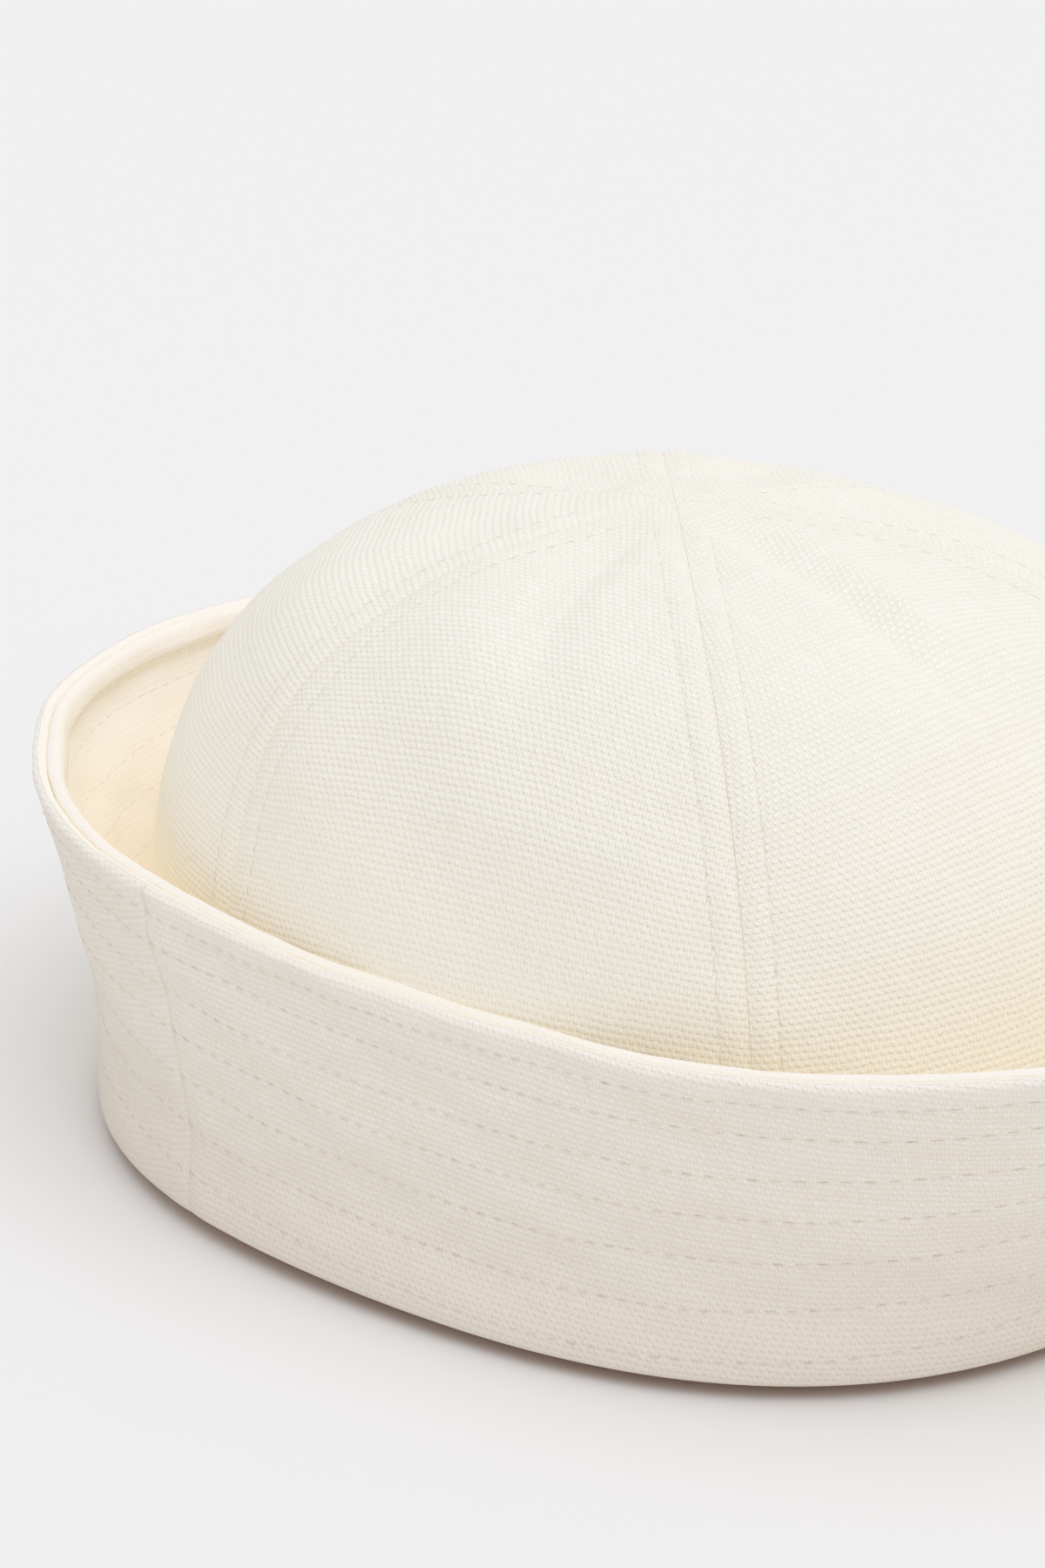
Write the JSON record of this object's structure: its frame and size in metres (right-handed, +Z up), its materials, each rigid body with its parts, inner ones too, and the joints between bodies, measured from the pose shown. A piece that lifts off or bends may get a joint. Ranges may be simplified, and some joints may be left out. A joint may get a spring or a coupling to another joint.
{
  "type": "sailor cap",
  "caption": "Canvas sailor cap with a domed crown of sewn gores and a turned-up brim of stitched double cloth, standing on its foot.",
  "frame": {"origin": "on the surface that the cap rests on, under the middle of the cap's box", "axes": "+Z up through the crown, X along the cap's longer side, from front to back of the head, Y across the head"},
  "size_m": [0.258, 0.1904, 0.1096],
  "materials": {
    "crown_canvas": "natural white plain-weave cotton canvas, matt",
    "brim_canvas": "natural white plain-weave cotton canvas, matt, rows of topstitching"
  },
  "bodies": {
    "root": {"crown_gore_1": "crown_canvas", "crown_gore_2": "crown_canvas", "crown_gore_3": "crown_canvas", "crown_gore_4": "crown_canvas", "crown_gore_5": "crown_canvas", "crown_gore_6": "crown_canvas", "brim_outer_1": "brim_canvas", "brim_outer_2": "brim_canvas", "brim_inner_1": "brim_canvas", "brim_inner_2": "brim_canvas"}
  },
  "joints": []
}
